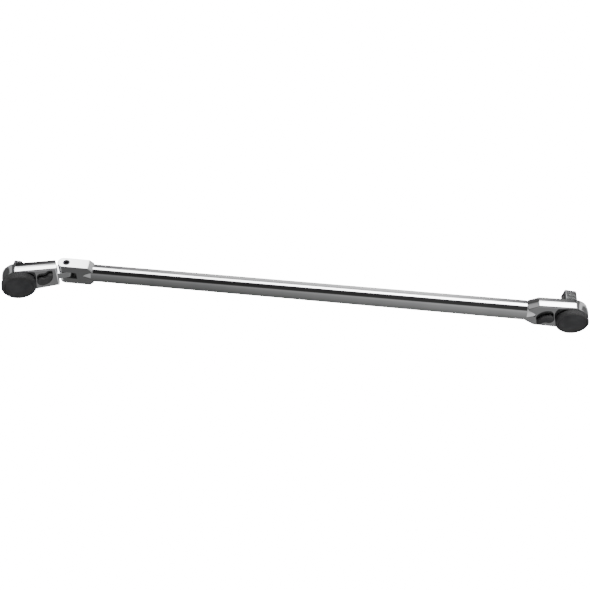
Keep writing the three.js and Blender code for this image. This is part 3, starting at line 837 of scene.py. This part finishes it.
def studio():
    studio_world = World()
    flip = studio_world.math("MULTIPLY", studio_world.depth, -1)
    angle = studio_world.math("ARCTAN2", studio_world.height, flip)
    turn = studio_world.math("MULTIPLY_ADD", angle, 1 / WHOLE_TURN, 0.5)
    off_centre = studio_world.math("ABSOLUTE", studio_world.across)
    light_ring = studio_world.ring(turn, all_round(LIGHT_BACKDROP))
    dark_ring = studio_world.ring(turn, all_round(DARK_BACKDROP))
    to_ends = studio_world.fade(off_centre, *TO_ENDS)
    to_sides = studio_world.fade(off_centre, *TO_SIDES)
    around = studio_world.mix(to_ends, light_ring, dark_ring)
    room = studio_world.mix(to_sides, around, studio_world.ring(off_centre, SIDES))
    left_to_right = studio_world.fade(studio_world.across, *LEFT_TO_RIGHT)
    strength = studio_world.math("MULTIPLY", left_to_right, SOFTBOX)
    lit = studio_world.add("ShaderNodeBackground")
    studio_world.link(room, lit.inputs["Color"])
    studio_world.link(strength, lit.inputs["Strength"])
    seen = studio_world.add("ShaderNodeBackground")
    seen.inputs["Color"].default_value = (1, 1, 1, 1)
    seen.inputs["Strength"].default_value = PAPER
    choice = studio_world.add("ShaderNodeMixShader")
    studio_world.link(studio_world.add("ShaderNodeLightPath").outputs["Is Camera Ray"], choice.inputs["Fac"])
    studio_world.link(lit.outputs[0], choice.inputs[1])
    studio_world.link(seen.outputs[0], choice.inputs[2])
    output = studio_world.tree.nodes["World Output"]
    studio_world.link(choice.outputs[0], output.inputs["Surface"])
    bpy.context.scene.world = studio_world.world


def soft_light(name, place, width, height, energy):
    """A large lamp aimed at the tool. It lights the dull parts and leaves no image in the chrome."""
    lamp = bpy.data.lights.new(name, "AREA")
    lamp.shape = "RECTANGLE"
    lamp.size = width
    lamp.size_y = height
    lamp.energy = energy
    obj = bpy.data.objects.new(name, lamp)
    obj.location = place
    obj.rotation_euler = (-obj.location).to_track_quat("-Z", "Y").to_euler()
    obj.visible_glossy = False
    bpy.context.scene.collection.objects.link(obj)


def floor():
    half = 6
    mesh = bpy.data.meshes.new("floor")
    corners = [(-half, -half, 0), (half, -half, 0), (half, half, 0), (-half, half, 0)]
    mesh.from_pydata(corners, [], [(0, 1, 2, 3)])
    obj = bpy.data.objects.new("floor", mesh)
    bpy.context.scene.collection.objects.link(obj)
    material = bpy.data.materials.new("pale_floor")
    material.use_nodes = True
    shader = material.node_tree.nodes["Principled BSDF"]
    shader.inputs["Base Color"].default_value = (0.9, 0.9, 0.9, 1)
    shader.inputs["Roughness"].default_value = 0.9
    shader.inputs["Emission Color"].default_value = (1, 1, 1, 1)
    shader.inputs["Emission Strength"].default_value = PAPER
    mesh.materials.append(material)
    obj.visible_glossy = False
    obj.visible_diffuse = False


# ---- camera ----
CAMERA = {"azimuth": 0.583, "elevation": 51.3, "roll": 4.469, "distance": 0.75407, "lens": 60.09,
          "sensor": 36, "target": (-0.0005, 0, 0.01)}


def camera():
    azimuth = math.radians(CAMERA["azimuth"])
    elevation = math.radians(CAMERA["elevation"])
    back = Vector((math.sin(azimuth) * math.cos(elevation),
                   -math.cos(azimuth) * math.cos(elevation), math.sin(elevation)))
    target = Vector(CAMERA["target"])
    data = bpy.data.cameras.new("camera")
    data.lens = CAMERA["lens"]
    data.sensor_width = CAMERA["sensor"]
    data.clip_start = 0.01
    obj = bpy.data.objects.new("camera", data)
    obj.location = target + back * CAMERA["distance"]
    aim = back.to_track_quat("Z", "Y").to_matrix().to_4x4()
    roll = Matrix.Rotation(math.radians(CAMERA["roll"]), 4, "Z")
    obj.matrix_world = Matrix.Translation(obj.location) @ aim @ roll
    bpy.context.scene.collection.objects.link(obj)
    bpy.context.scene.camera = obj


# ---- build ----
camera()
finish_cad_nodes()
handle_bar()
hinge_screw()
flex_body()
for prefix in HEADS:
    drive_gear(prefix)
    square_ball(prefix)
    thumb_disc(prefix)
    disc_cap(prefix)
    selector_lever(prefix)
studio()
for lamp in LAMPS:
    soft_light(*lamp)
floor()
